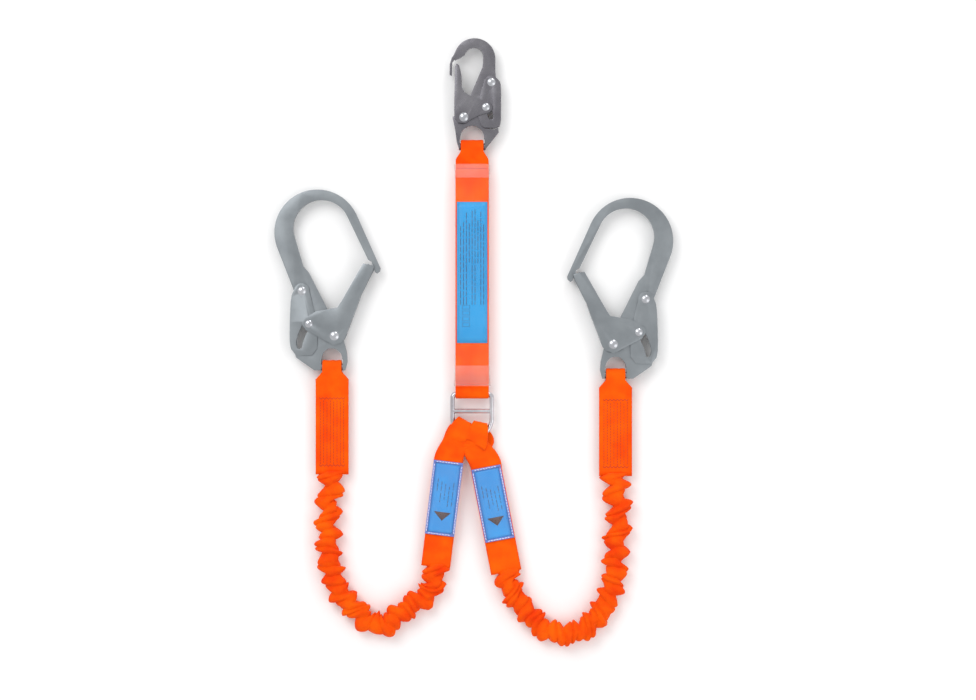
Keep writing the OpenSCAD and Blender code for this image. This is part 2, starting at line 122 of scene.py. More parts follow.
class Nodes:
    """Short calls for adding nodes to one material."""

    def __init__(self, material):
        self.tree = material.node_tree
        self.shader = self.tree.nodes["Principled BSDF"]

    def add(self, kind, **settings):
        node = self.tree.nodes.new(kind)
        for key, value in settings.items():
            setattr(node, key, value)
        return node

    def link(self, output, target):
        self.tree.links.new(output, target)

    def math(self, operation, first, second=0.0):
        node = self.add("ShaderNodeMath", operation=operation)
        for socket, value in zip(node.inputs, (first, second)):
            if isinstance(value, (int, float)):
                socket.default_value = value
            else:
                self.link(value, socket)
        return node.outputs[0]

    def noise(self, scale, detail=3.0, where=None):
        node = self.add("ShaderNodeTexNoise")
        node.inputs["Scale"].default_value = scale
        node.inputs["Detail"].default_value = detail
        if where is None:
            where = self.add("ShaderNodeTexCoord").outputs["Object"]
        self.link(where, node.inputs["Vector"])
        return node.outputs["Fac"]

    def ramp(self, value, stops):
        node = self.add("ShaderNodeValToRGB")
        ramp = node.color_ramp
        while len(ramp.elements) < len(stops):
            ramp.elements.new(0.5)
        for element, (place, colour) in zip(ramp.elements, stops):
            element.position = place
            element.color = (*colour, 1)
        self.link(value, node.inputs["Fac"])
        return node.outputs["Color"]

    def bump(self, height, strength, distance):
        node = self.add("ShaderNodeBump")
        node.inputs["Strength"].default_value = strength
        node.inputs["Distance"].default_value = distance
        self.link(height, node.inputs["Height"])
        self.link(node.outputs["Normal"], self.shader.inputs["Normal"])


def metal(name, dark, light, rough, grain=900):
    material = new_material(name, light, rough, 1.0)
    nodes = Nodes(material)
    cloud = nodes.noise(34, 4)
    nodes.link(nodes.ramp(cloud, [(0.3, dark), (0.72, light)]), nodes.shader.inputs["Base Color"])
    fine = nodes.noise(grain, 2)
    spread = nodes.math("MULTIPLY", nodes.noise(260, 3), 0.22)
    nodes.link(nodes.math("ADD", spread, rough - 0.1), nodes.shader.inputs["Roughness"])
    nodes.bump(fine, 0.05, 0.0002)
    return material


def webbing(name, deep, bright, across_pitch=1.5 * MM, along_pitch=1.1 * MM):
    """Woven tape: ribs along it and finer picks across it, counted in metres on the UV map."""
    material = new_material(name, bright, 0.78)
    nodes = Nodes(material)
    shader = nodes.shader
    shader.inputs["Sheen Weight"].default_value = 0.04
    shader.inputs["Sheen Roughness"].default_value = 0.4
    shader.inputs["Specular IOR Level"].default_value = 0.1
    split = nodes.add("ShaderNodeSeparateXYZ")
    nodes.link(nodes.add("ShaderNodeUVMap", uv_map="weave").outputs[0], split.inputs[0])
    turn = 2 * math.pi
    rib = nodes.math("SINE", nodes.math("MULTIPLY", split.outputs[0], turn / across_pitch))
    shift = nodes.math("MULTIPLY", rib, 1.2)
    picks = nodes.math("MULTIPLY", split.outputs[1], turn / along_pitch)
    pick = nodes.math("SINE", nodes.math("ADD", picks, shift))
    weave = nodes.math("ADD", nodes.math("MULTIPLY", rib, 0.5), nodes.math("MULTIPLY", pick, 0.5))
    tone = nodes.math("ADD", nodes.math("MULTIPLY", weave, 0.16), nodes.noise(38, 4))
    nodes.link(nodes.ramp(tone, [(0.28, deep), (0.7, bright)]), shader.inputs["Base Color"])
    nodes.bump(weave, 0.35, 0.0004)
    return material


def clear_sheet(name, tint, alpha, rough, gloss):
    material = new_material(name, tint, rough)
    nodes = Nodes(material)
    nodes.shader.inputs["Coat Weight"].default_value = gloss
    nodes.shader.inputs["Coat Roughness"].default_value = 0.08
    haze = nodes.math("MULTIPLY", nodes.noise(55, 4), alpha)
    nodes.link(nodes.math("ADD", haze, alpha * 0.5), nodes.shader.inputs["Alpha"])
    nodes.bump(nodes.noise(70, 2), 0.25, 0.002)
    return material


def printed(name, colour, second, rough=0.4):
    material = new_material(name, colour, rough)
    nodes = Nodes(material)
    nodes.link(nodes.ramp(nodes.noise(30, 3), [(0.3, colour), (0.75, second)]),
               nodes.shader.inputs["Base Color"])
    nodes.bump(nodes.noise(900, 2), 0.1, 0.0001)
    return material


def make_materials():
    return {
        "zinc": metal("zinc_steel", (0.25, 0.272, 0.29), (0.325, 0.352, 0.372), 0.34),
        "dark_zinc": metal("dark_zinc_steel", (0.165, 0.16, 0.18), (0.235, 0.23, 0.25), 0.26),
        "rivet": metal("rivet_steel", (0.42, 0.43, 0.46), (0.62, 0.63, 0.66), 0.24),
        "spring": metal("spring_steel", (0.25, 0.25, 0.27), (0.4, 0.4, 0.42), 0.35),
        "ring": metal("bright_zinc", (0.42, 0.40, 0.43), (0.66, 0.64, 0.67), 0.22),
        "orange": webbing("orange_webbing", (0.86, 0.055, 0.0), (1.0, 0.125, 0.0)),
        "sleeve": webbing("gathered_webbing", (0.84, 0.04, 0.0), (1.0, 0.13, 0.0),
                          1.3 * MM, 0.9 * MM),
        "film": clear_sheet("clear_film", (1.0, 0.90, 0.88), 0.014, 0.16, 0.15),
        # Film ends: a pinkish-white tint and higher alpha. This is partly the milkier bunched
        # film and partly a painted sheen where the film bends down over the pack's ends.
        "film_end_sheen": clear_sheet("film_end_sheen", (1.0, 0.66, 0.60), 0.12, 0.2, 0.4),
        "vinyl": clear_sheet("clear_vinyl", (0.86, 0.90, 1.0), 0.035, 0.10, 0.4),
        "label": printed("label_blue", (0.0, 0.26, 0.60), (0.002, 0.32, 0.70)),
        "card": printed("card_blue", (0.0, 0.21, 0.60), (0.003, 0.30, 0.74)),
        "ink": printed("ink", (0.02, 0.05, 0.12), (0.04, 0.09, 0.18), 0.6),
        "mark": printed("mark_brown", (0.055, 0.022, 0.018), (0.09, 0.04, 0.03), 0.6),
        "thread": printed("sewing_thread", (0.42, 0.03, 0.004), (0.6, 0.05, 0.01), 0.8),
        "pale_thread": printed("pale_thread", (0.62, 0.66, 0.85), (0.9, 0.92, 1.0), 0.7),
        "seam": printed("vinyl_seam", (0.10, 0.16, 0.50), (0.18, 0.24, 0.62), 0.45),
        "elastic": printed("elastic_cover", (0.75, 0.70, 0.58), (0.85, 0.80, 0.68), 0.8),
    }


# ---------- mesh helpers ----------
def new_piece(name, verts, faces, material, body, uvs=None):
    mesh = bpy.data.meshes.new(name)
    mesh.from_pydata([tuple(v) for v in verts], [], faces)
    mesh.update()
    if uvs is not None:
        layer = mesh.uv_layers.new(name="weave")
        for loop in mesh.loops:
            layer.data[loop.index].uv = uvs[loop.vertex_index]
    piece = bpy.data.objects.new(name, mesh)
    bpy.context.collection.objects.link(piece)
    mesh.materials.append(material)
    for face in mesh.polygons:
        face.use_smooth = True
    tidy = bmesh.new()
    tidy.from_mesh(mesh)
    bmesh.ops.recalc_face_normals(tidy, faces=tidy.faces)
    tidy.to_mesh(mesh)
    tidy.free()
    if body:
        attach(piece, body)
    return piece


def lofted(rings, closed_ends=True):
    """Faces that join rings of the same number of points."""
    count = len(rings[0])
    verts = [point for ring in rings for point in ring]
    faces = []
    for row in range(len(rings) - 1):
        for k in range(count):
            a = row * count + k
            b = row * count + (k + 1) % count
            faces.append((a, b, b + count, a + count))
    if closed_ends:
        faces.append(tuple(range(count - 1, -1, -1)))
        faces.append(tuple(len(verts) - count + k for k in range(count)))
    return verts, faces


def smooth_line(points, steps):
    """The rounded line that the CAD routes follow."""
    points = [np.array(p, float) for p in points]
    last = len(points) - 1
    line = []
    for i in range(last):
        a, b = points[max(i - 1, 0)], points[i]
        c, d = points[i + 1], points[min(i + 2, last)]
        for k in range(steps):
            t = k / steps
            line.append(0.5 * (2 * b + (c - a) * t + (2 * a - 5 * b + 4 * c - d) * t * t
                               + (3 * b - a - 3 * c + d) * t ** 3))
    line.append(points[-1])
    return np.array(line)


def resampled(line, gap):
    steps = np.linalg.norm(np.diff(line, axis=0), axis=1)
    along = np.concatenate([[0], np.cumsum(steps)])
    places = np.linspace(0, along[-1], int(along[-1] / gap) + 1)
    even = np.stack([np.interp(places, along, line[:, k]) for k in range(line.shape[1])], axis=1)
    return even, places


def tape_section(half_width, half_thick, edge_points=3, flat_points=11):
    """Rounded flat section: (across, up) points, starting at the right end of the top."""
    reach = half_width - half_thick
    top = [(reach * (1 - 2 * k / (flat_points - 1)), half_thick) for k in range(flat_points)]
    turn = [math.pi / 2 + math.pi * (k + 1) / (edge_points + 1) for k in range(edge_points)]
    left = [(-reach + half_thick * math.cos(a), half_thick * math.sin(a)) for a in turn]
    bottom = [(-x, -y) for x, y in top]
    right = [(-x, -y) for x, y in left]
    return top + left + bottom + right


def tape(name, centre, across, up, half_widths, thick, material, body, crease=0.0):
    """A strap along centre points. across and up are unit vectors for each point."""
    rings = []
    uvs = []
    travelled = 0.0
    for i, point in enumerate(centre):
        if i:
            travelled += float(np.linalg.norm(point - centre[i - 1]))
        ring = []
        fold = max(0.0, 1 - half_widths[i] / STRAP_HALF)
        for x, y in tape_section(half_widths[i], thick / 2):
            share = x / half_widths[i]
            ripple = crease * fold * math.cos(share * 2.6 * math.pi)
            ring.append(point + across[i] * x + up[i] * (y + ripple))
            uvs.append((share * STRAP_HALF + (0 if y > 0 else 0.05), travelled))
        rings.append(ring)
    verts, faces = lofted(rings)
    return new_piece(name, verts, faces, material, body, uvs)


def small_boxes(name, boxes, material, body, rounded=0.0):
    """Flat blocks given as (centre, half size x, y, z, turn), joined in one mesh."""
    verts = []
    faces = []
    for centre, hx, hy, hz, turn in boxes:
        base = len(verts)
        c, s = math.cos(turn), math.sin(turn)
        for z, inset in ((-hz, 0.0), (hz * 0.3, 0.0), (hz, rounded)):
            for x, y in ((-hx, -hy), (hx, -hy), (hx, hy), (-hx, hy)):
                px = x * (1 - inset)
                py = y * (1 - inset)
                verts.append((centre[0] + c * px - s * py, centre[1] + s * px + c * py,
                              centre[2] + z))
        for level in (0, 4):
            for k in range(4):
                n = (k + 1) % 4
                faces.append((base + level + k, base + level + n,
                              base + level + 4 + n, base + level + 4 + k))
        faces.append((base + 3, base + 2, base + 1, base))
        faces.append((base + 8, base + 9, base + 10, base + 11))
    return new_piece(name, verts, faces, material, body, None)


# ---------- hard pieces ----------
def beveled(node, body, material, width, segments=3, angle=32):
    """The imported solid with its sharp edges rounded, in place of the CAD piece."""
    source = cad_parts[node]
    mesh = source.data.copy()
    piece = bpy.data.objects.new(node + "_finished", mesh)
    bpy.context.collection.objects.link(piece)
    mesh.transform(source.matrix_world)
    work = bmesh.new()
    work.from_mesh(mesh)
    bmesh.ops.remove_doubles(work, verts=work.verts, dist=0.02 * MM)
    bmesh.ops.dissolve_limit(work, angle_limit=math.radians(1.0), verts=work.verts,
                             edges=work.edges)
    work.to_mesh(mesh)
    work.free()
    mesh.materials.clear()
    mesh.materials.append(material)
    bevel = piece.modifiers.new("round_edges", "BEVEL")
    bevel.width = width
    bevel.segments = segments
    bevel.limit_method = "ANGLE"
    bevel.angle_limit = math.radians(angle)
    bevel.harden_normals = False
    bpy.context.view_layer.update()
    shaped = bpy.data.meshes.new_from_object(
        piece.evaluated_get(bpy.context.evaluated_depsgraph_get()))
    piece.modifiers.clear()
    piece.data = shaped
    shaded = bmesh.new()
    shaded.from_mesh(shaped)
    for face in shaded.faces:
        face.smooth = True
    for edge in shaded.edges:
        if len(edge.link_faces) == 2 and edge.calc_face_angle(0) > math.radians(38):
            edge.smooth = False
    shaded.to_mesh(shaped)
    shaded.free()
    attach(piece, body)
    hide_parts(node)
    return piece


def paint_node(node, material):
    """Gives a CAD piece that stays its own finish."""
    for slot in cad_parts[node].material_slots:
        slot.material = material


def make_hooks(paints):
    for hook in HOOKS:
        body_paint = paints["dark_zinc"] if hook == "snap" else paints["zinc"]
        edge = 1.7 * MM if hook == "snap" else 2.6 * MM
        beveled(f"{hook}_hook_body", f"{hook}_hook", body_paint, edge, 4)
        beveled(f"{hook}_hook_gate", f"{hook}_gate", body_paint, 0.6 * MM)
        beveled(f"{hook}_hook_lock_lever", f"{hook}_lever", body_paint, 0.5 * MM)
        for part in ("gate_rivet", "lever_rivet", "link_pin"):
            paint_node(f"{hook}_hook_{part}", paints["rivet"])
        for part in ("gate_spring", "lever_spring"):
            paint_node(f"{hook}_hook_{part}", paints["spring"])
    paint_node("connector_ring", paints["ring"])


# ---------- straps ----------
def loop_path(bar, radius, tail, tail_gap, upward=1, count=18):
    """Middle line of a strap round a bar that lies along X, from the top layer to the bottom."""
    y, z = bar
    line = []
    for k in range(10):
        share = k / 10
        rise = tail_gap + (radius - tail_gap) * (0.5 - 0.5 * math.cos(math.pi * share))
        line.append((y - upward * tail * (1 - share), z + rise))
    for k in range(count + 1):
        a = math.pi / 2 - math.pi * k / count
        line.append((y + upward * radius * math.cos(a), z + radius * math.sin(a)))
    for k in range(1, 11):
        share = 1 - k / 10
        rise = tail_gap + (radius - tail_gap) * (0.5 - 0.5 * math.cos(math.pi * share))
        line.append((y - upward * tail * (1 - share), z - rise))
    return line


def straight_loop(name, x, bar, radius, tail, narrow, wide, upward, material, body,
                  extra=0.0, tail_gap=1.3 * MM):
    """A sewn loop round a bar, with an extra straight stretch at both tails."""
    line = loop_path(bar, radius, tail, tail_gap, upward)
    if extra:
        y_end = bar[0] - upward * (tail + extra)
        steps = [k / 14 for k in range(14)]
        y_tail = bar[0] - upward * tail
        front = [(y_end + (y_tail - y_end) * s, bar[1] + tail_gap) for s in steps]
        back = [(y, 2 * bar[1] - z) for y, z in reversed(front)]
        line = front + line + back
    centre = [np.array((x, y, z)) for y, z in line]
    across = []
    up = []
    widths = []
    for i in range(len(centre)):
        way = centre[min(i + 1, len(centre) - 1)] - centre[max(i - 1, 0)]
        way /= np.linalg.norm(way)
        side = np.array((1.0, 0, 0))
        across.append(side)
        up.append(np.cross(side, way))
        drop = (bar[0] - centre[i][1]) * upward
        share = min(1.0, max(0.0, (drop - 6 * MM) / (9 * MM)))
        widths.append(narrow + (wide - narrow) * share)
    return tape(name, centre, across, up, widths, STRAP_T, material, body,
                crease=0.5 * MM)


def make_absorber(paints):
    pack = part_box("tear_webbing")
    pack_low, pack_high = Vector(pack[0]), Vector(pack[1])
    x = (pack_low.x + pack_high.x) / 2
    # Folded webbing: one strap laid back and forth
    layers = 6
    pitch = (pack_high.z - pack_low.z - STRAP_T) / (layers - 1)
    line = []
    for k in range(layers):
        z = pack_low.z + STRAP_T / 2 + k * pitch
        up_way = k % 2 == 0
        start = pack_low.y + pitch / 2 + STRAP_T / 2
        end = pack_high.y - pitch / 2 - STRAP_T / 2
        if not up_way:
            start, end = end, start
        line += [(start + (end - start) * s, z) for s in np.linspace(0, 1, 12)]
        if k < layers - 1:
            sign = 1 if up_way else -1
            for a in np.linspace(-90, 90, 7)[1:-1]:
                line.append((end + sign * pitch / 2 * math.cos(math.radians(a)),
                             z + pitch / 2 + pitch / 2 * math.sin(math.radians(a))))
    centre = [np.array((x, y, z)) for y, z in line]
    across = [np.array((1.0, 0, 0))] * len(centre)
    up = []
    for i in range(len(centre)):
        way = centre[min(i + 1, len(centre) - 1)] - centre[max(i - 1, 0)]
        way /= np.linalg.norm(way)
        up.append(np.cross(across[i], way))
    folded = tape("tear_webbing_folded", centre, across, up, [STRAP_HALF] * len(centre),
                  STRAP_T, paints["orange"], "absorber")
    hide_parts("tear_webbing")

    eye_low, eye_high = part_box("upper_loop")
    radius = (eye_high[2] - eye_low[2]) / 2 - STRAP_T / 2
    bar = (eye_high[1] - radius - STRAP_T / 2, MID_Z)
    upper = straight_loop("upper_loop_strap", x, bar, radius, bar[0] - eye_low[1], 13.6 * MM,
                          19.8 * MM, 1, paints["orange"], "absorber")
    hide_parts("upper_loop")
    low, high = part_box("lower_loop")
    radius = (high[2] - low[2]) / 2 - STRAP_T / 2
    bar = (low[1] + radius + STRAP_T / 2, MID_Z)
    lower = straight_loop("lower_loop_strap", x, bar, radius, high[1] - bar[0], STRAP_HALF,
                          STRAP_HALF, -1, paints["orange"], "absorber")
    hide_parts("lower_loop")
    make_film(paints, x)


def film_ring(x, y, half_w, low, high, ripple, phase):
    """A rounded box section of the film at one place along the pack."""
    mid = (low + high) / 2
    half_h = (high - low) / 2
    corner = 3.2 * MM
    ring = []
    for cx, cz, first in ((1, 1, 0), (-1, 1, 90), (-1, -1, 180), (1, -1, 270)):
        for k in range(5):
            a = math.radians(first + 22.5 * k)
            ring.append([cx * (half_w - corner) + corner * math.cos(a),
                         cz * (half_h - corner) + corner * math.sin(a)])
        end = [-cx * (half_w - corner), cz * half_h] if first in (0, 180) else \
            [cx * half_w, -cz * (half_h - corner)]
        start = ring[-1]
        for k in range(1, 7):
            ring.append([start[0] + (end[0] - start[0]) * k / 7,
                         start[1] + (end[1] - start[1]) * k / 7])
    out = []
    for k, (px, pz) in enumerate(ring):
        wave = ripple * math.sin(k * 0.9 + phase * 0.35) * math.sin(k * 0.37 + phase)
        grow = 1 + wave / half_w
        out.append((x + px * grow, y, mid + pz * (1 + wave / half_h * 0.4)))
    return out


def make_film(paints, x):
    low, high = [Vector(c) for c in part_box("film_sleeve")]
    half_w = (high.x - low.x) / 2
    end_band = 17 * MM
    rings = []
    rows = 130
    for i in range(rows + 1):
        y = low.y + (high.y - low.y) * i / rows
        near_low = max(0.0, 1 - (y - low.y) / end_band)
        near_high = max(0.0, 1 - (high.y - y) / end_band)
        flare = 0.7 * MM * near_low + 0.2 * MM * near_high
        ripple = (0.1 + 0.55 * max(near_low, near_high)) * MM
        rings.append(film_ring(x, y, half_w + flare, low.z + 0.1 * MM, high.z, ripple, i * 0.55))
    verts, faces = lofted(rings, closed_ends=False)
    film = new_piece("film_wrap", verts, faces, paints["film"], "absorber", None)
    # Faces near both ends of the film take the pinkish-white end sheet: a painted sheen where the
    # film bends, over film that is really bunched there.
    film.data.materials.append(paints["film_end_sheen"])
    for face in film.data.polygons:
        y = face.center.y
        if y < low.y + 25 * MM or y > high.y - end_band:
            face.material_index = 1
    thick = film.modifiers.new("film_thickness", "SOLIDIFY")
    thick.thickness = 0.25 * MM
    thick.offset = -1
    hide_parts("film_sleeve")

    # The printed label, with plain bars and boxes where the lettering would be
    low, high = [Vector(c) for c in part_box("info_label")]
    label = plate("info_label_print", low, high, paints["label"], "absorber")
    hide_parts("info_label")
    top = high.z + 0.03 * MM
    bars = []
    rng = np.random.default_rng(4)
    width = high.x - low.x
    for row in range(9):
        bx = low.x + width * (0.12 + 0.095 * row)
        by = low.y + 46 * MM
        stop = high.y - (8 + 22 * rng.random()) * MM
        while by < stop:
            step = (2.5 + 7 * rng.random()) * MM
            if row not in (3, 6) or by > low.y + 90 * MM:
                bars.append(((bx, by + step / 2, top), 0.38 * MM, step / 2, 0.03 * MM, 0))
            by += step + 1.5 * MM
    for k in range(4):
        y = low.y + (22 + 7 * k) * MM
        for dx, dy, hx, hy in ((0, 2.3, 4.2, 0.18), (0, -2.3, 4.2, 0.18),
                               (-4.2, 0, 0.18, 2.3), (4.2, 0, 0.18, 2.3)):
            bars.append(((low.x + width * 0.3 + dx * MM, y + dy * MM, top), hx * MM, hy * MM,
                         0.03 * MM, 0))
    small_boxes("label_bars", bars, paints["ink"], "absorber")


def plate(name, low, high, material, body, rows=24, columns=6, bow=0.0):
    """A thin printed sheet, slightly bowed."""
    verts = []
    faces = []
    for z in (low.z, high.z):
        for j in range(rows + 1):
            for i in range(columns + 1):
                u, v = i / columns * 2 - 1, j / rows * 2 - 1
                verts.append((low.x + (high.x - low.x) * i / columns,
                              low.y + (high.y - low.y) * j / rows,
                              z + bow * (1 - u * u) * (1 - v * v)))
    stride = columns + 1
    count = (rows + 1) * stride
    for j in range(rows):
        for i in range(columns):
            a = j * stride + i
            quad = (a, a + 1, a + 1 + stride, a + stride)
            faces.append(tuple(reversed(quad)))
            faces.append(tuple(k + count for k in quad))
    rim = [i for i in range(stride)] + [j * stride + columns for j in range(1, rows + 1)]
    rim += [rows * stride + i for i in range(columns - 1, -1, -1)]
    rim += [j * stride for j in range(rows - 1, 0, -1)]
    for a, b in zip(rim, rim[1:] + rim[:1]):
        faces.append((a, b, b + count, a + count))
    return new_piece(name, verts, faces, material, body, None)


# ---------- legs ----------
LEG_TURNS = {"left": math.radians(-7), "right": math.radians(11)}
LEG_LENGTHS = {"left": 138 * MM, "right": 141 * MM}
LEG_HALVES = {"left": 17.5 * MM, "right": 18.5 * MM}
POUCH_DROPS = {"left": 55 * MM, "right": 57 * MM}
# Necks of the ring loops: x and y counted from the ring's round end, then half width
NECKS = {"left": [(-22, -33, 14.5), (-19.5, -24, 13), (-14.5, -13.5, 12.4), (-11, -7, 10.8)],
         "right": [(4, -35, 15), (5, -28, 13.6), (7.5, -17, 12), (9, -10, 10.2)]}
# Routes of the gathered sleeves, as in the CAD model, moved by the same layout shift
LAYOUT_SHIFT = (2.0, 2.3)
SLEEVE_TUCK = 5 * MM
ROUTES = {
    "left": [(-48, -271.6), (-49.5, -283), (-53, -297), (-64, -308), (-79, -318), (-93, -329),
             (-109, -340), (-127, -337), (-141, -325), (-155, -311), (-165, -298), (-171, -281),
             (-175, -263), (-177, -239), (-177, -215), (-176, -190), (-173, -175), (-172, -167),
             (-172, -161)],
    "right": [(37.1, -278.8), (39.4, -290), (50, -311), (63, -326), (77, -341), (95, -350),
              (113, -351), (129, -346), (143, -334), (154, -318), (162, -301), (167, -282),
              (168, -256), (170, -232), (172, -208), (169, -186), (168, -172), (168, -163)]}


def route_line(side, steps):
    flat = smooth_line(ROUTES[side], steps)
    line = np.zeros((len(flat), 3))
    line[:, 0] = (flat[:, 0] + LAYOUT_SHIFT[0]) * MM
    line[:, 1] = (flat[:, 1] + LAYOUT_SHIFT[1]) * MM
    line[:, 2] = MID_Z
    # Both ends reach a little way into their sewn straps
    first, last = line[0] - line[1], line[-1] - line[-2]
    first *= SLEEVE_TUCK / np.linalg.norm(first)
    last *= SLEEVE_TUCK / np.linalg.norm(last)
    return np.concatenate([[line[0] + first], line, [line[-1] + last]])


def gathered_sleeve(side, paints):
    """Tubular webbing bunched up in pleats along its elastic core."""
    rng = np.random.default_rng(11 if side == "left" else 23)
    path = route_line(side, 12)
    line, along = resampled(path, 0.9 * MM)
    total = along[-1]
    creases = [0.0]
    while creases[-1] < total + 30 * MM:
        creases.append(creases[-1] + (6.5 + 8 * rng.random()) * MM)
    creases = np.array(creases)
    sizes = 0.86 + 0.3 * rng.random((len(creases) + 2, 3))
    leans = (rng.random(len(creases) + 2) - 0.5) * 2

    def pleat(place):
        place = min(max(place, 0.0), creases[-1] - 1e-6)
        j = int(np.searchsorted(creases, place, side="right")) - 1
        t = (place - creases[j]) / (creases[j + 1] - creases[j])
        return j, t, math.sin(math.pi * t) ** 0.55

    sides_count = 40
    half_w = 12.4 * MM
    half_h = 9.6 * MM
    rings = []
    uvs = []
    for i, point in enumerate(line):
        s = along[i]
        way = line[min(i + 1, len(line) - 1)] - line[max(i - 1, 0)]
        way /= np.linalg.norm(way)
        across = np.array((-way[1], way[0], 0))
        hook_share = min(1.0, max(0.0, (s - total * 0.55) / (total * 0.3)))
        wander = 1.4 * math.sin(s / (29 * MM))
        meander = (2.6 + 2.2 * hook_share) * MM * math.sin(2 * math.pi * s / (23 * MM) + wander)
        near_end = min(s, total - s)
        edge = min(1.0, near_end / (6 * MM))
        flat_end = max(0.0, 1 - near_end / (16 * MM))
        slant = 6.5 * MM * math.sin(s / (41 * MM) + 0.7) + 3 * MM * math.sin(s / (13 * MM))
        ring = []
        for k in range(sides_count):
            a = 2 * math.pi * k / sides_count
            c, up = math.cos(a), math.sin(a)
            j, t, puff = pleat(s + slant * c + 1.6 * MM * math.sin(2 * a + s * 60))
            part = 0 if c > 0 else 1
            width = half_w * (0.70 + 0.42 * puff * sizes[j][part]) + 3.2 * MM * flat_end
            height = half_h * (0.56 + 0.44 * puff * sizes[j][2] * (1 + 0.2 * leans[j] * c))
            flat = math.copysign(abs(c) ** 0.82, c)
            tall = math.copysign(abs(up) ** 0.9, up)
            fine = 0.35 * MM * math.sin(7 * a + s * 900) * puff
            out = flat * (width + fine) * (1 - 0.05 * (1 - edge))
            rise = tall * (height + fine) * (0.42 + 0.58 * edge)
            place = point + across * (out + meander * edge) + np.array((0, 0, rise))
            place[2] = max(place[2], 0.5 * MM)
            ring.append(place)
            uvs.append((k / sides_count * 84 * MM, s * 2.2))
        rings.append(ring)
    verts, faces = lofted(rings)
    name = f"{side}_gathered_sleeve"
    piece = new_piece(name, verts, faces, paints["sleeve"], None, uvs)
    smoothing = piece.modifiers.new("soft_folds", "SMOOTH")
    smoothing.factor = 0.4
    smoothing.iterations = 2
    bpy.context.view_layer.update()
    shaped = bpy.data.meshes.new_from_object(
        piece.evaluated_get(bpy.context.evaluated_depsgraph_get()))
    piece.modifiers.clear()
    piece.data = shaped
    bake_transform(piece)
    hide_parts(f"{side}_leg_sleeve")
    return piece


class LegFrame:
    """Places along one flat leg strap: origin at its top, y back along the strap."""

    def __init__(self, side):
        self.turn = LEG_TURNS[side]
        pouch = middle(f"{side}_leg_pouch")
        self.pouch = np.array((pouch.x, pouch.y))
        self.top = self.pouch + self.rotated((0, POUCH_DROPS[side]))

    def rotated(self, p):
        c, s = math.cos(self.turn), math.sin(self.turn)
        return np.array((p[0] * c - p[1] * s, p[0] * s + p[1] * c))

    def at(self, p):
        return self.top + self.rotated(p)


def ring_loop(side, leg, paints):
    ring_low, ring_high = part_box("connector_ring")
    round_end = np.array(((ring_low[0] + ring_high[0]) / 2, ring_low[1] + 26.4 * MM))
    half = LEG_HALVES[side]
    plan = [(*leg.at((0, -LEG_LENGTHS[side] + 20 * MM)), half * 0.8),
            (*leg.at((0, -60 * MM)), half * 0.8), (*leg.at((0, -14 * MM)), half * 0.82)]
    plan += [(round_end[0] + x * MM, round_end[1] + y * MM, w * MM) for x, y, w in NECKS[side]]
    flat = smooth_line(plan, 8)
    wire_clear = 4.5 * MM
    resting = 1.5 * MM
    centre, across, up, widths = [], [], [], []
    ways = np.gradient(flat[:, :2], axis=0)
    ways /= np.linalg.norm(ways, axis=1)[:, None]
    rises = []
    for p in flat:
        far = np.linalg.norm(p[:2] - round_end) - 27 * MM
        share = min(1.0, max(0.0, far / (9 * MM)))
        share = share * share * (3 - 2 * share)
        rises.append(wire_clear + (resting - wire_clear) * share)
    back_shift = 8 * MM if side == "right" else -1.5 * MM

    def keep(point, rise, way, width, slip=0.0):
        side_way = np.array((way[1], -way[0], 0))
        centre.append(np.array((point[0], point[1], MID_Z + rise)) + side_way * slip)
        across.append(side_way)
        widths.append(width)

    for p, way, rise in zip(flat, ways, rises):
        keep(p, rise, way, p[2])
    last, way = flat[-1], ways[-1]
    for k in range(1, 12):
        a = math.pi / 2 - math.pi * k / 12
        bulge = last[:2] + way * wire_clear * math.cos(a)
        keep(bulge, wire_clear * math.sin(a), way, last[2] * (1 - 0.14 * math.cos(a)))
    count = len(flat)
    for i in range(count - 1, -1, -1):
        slip = back_shift * math.sin(math.pi * min(1.0, (count - 1 - i) / 26)) ** 2
        keep(flat[i], -rises[i], ways[i], flat[i][2], slip)
    for i in range(len(centre)):
        step = centre[min(i + 1, len(centre) - 1)] - centre[max(i - 1, 0)]
        step /= np.linalg.norm(step)
        up.append(np.cross(across[i], step))
    band = tape(f"{side}_ring_loop_strap", centre, across, up, widths, STRAP_T,
                paints["orange"], f"{side}_leg", crease=0.3 * MM)
    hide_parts(f"{side}_leg_ring_loop")

    # The wide flat strap, whose mouth closes round the neck of the loop
    mouth = NECKS[side][0]
    above = NECKS[side][1]
    wide = [(*(round_end + np.array(above[:2]) * MM), above[2] * MM + 1.2 * MM),
            (*(round_end + np.array(mouth[:2]) * MM), mouth[2] * MM + 1.0 * MM),
            (*leg.at((0, -7 * MM)), half), (*leg.at((0, -22 * MM)), half),
            (*leg.at((0, -70 * MM)), half), (*leg.at((0, -LEG_LENGTHS[side])), half)]
    flat = smooth_line(wide, 10)
    ways = np.gradient(flat[:, :2], axis=0)
    ways /= np.linalg.norm(ways, axis=1)[:, None]
    centre = [np.array((p[0], p[1], MID_Z)) for p in flat]
    across = [np.array((-w[1], w[0], 0)) for w in ways]
    up = [np.array((0, 0, 1.0))] * len(centre)
    strap = tape(f"{side}_leg_strap", centre, across, up, [p[2] for p in flat], 6.0 * MM,
                 paints["orange"], f"{side}_leg", crease=0.9 * MM)
    return strap


def placed(piece, leg, z):
    """Moves a piece made about the pouch's centre to its place on the leg."""
    c, s = math.cos(leg.turn), math.sin(leg.turn)
    for vert in piece.data.vertices:
        x, y = vert.co.x, vert.co.y
        vert.co.x = leg.pouch[0] + c * x - s * y
        vert.co.y = leg.pouch[1] + s * x + c * y
        vert.co.z += z
    return piece


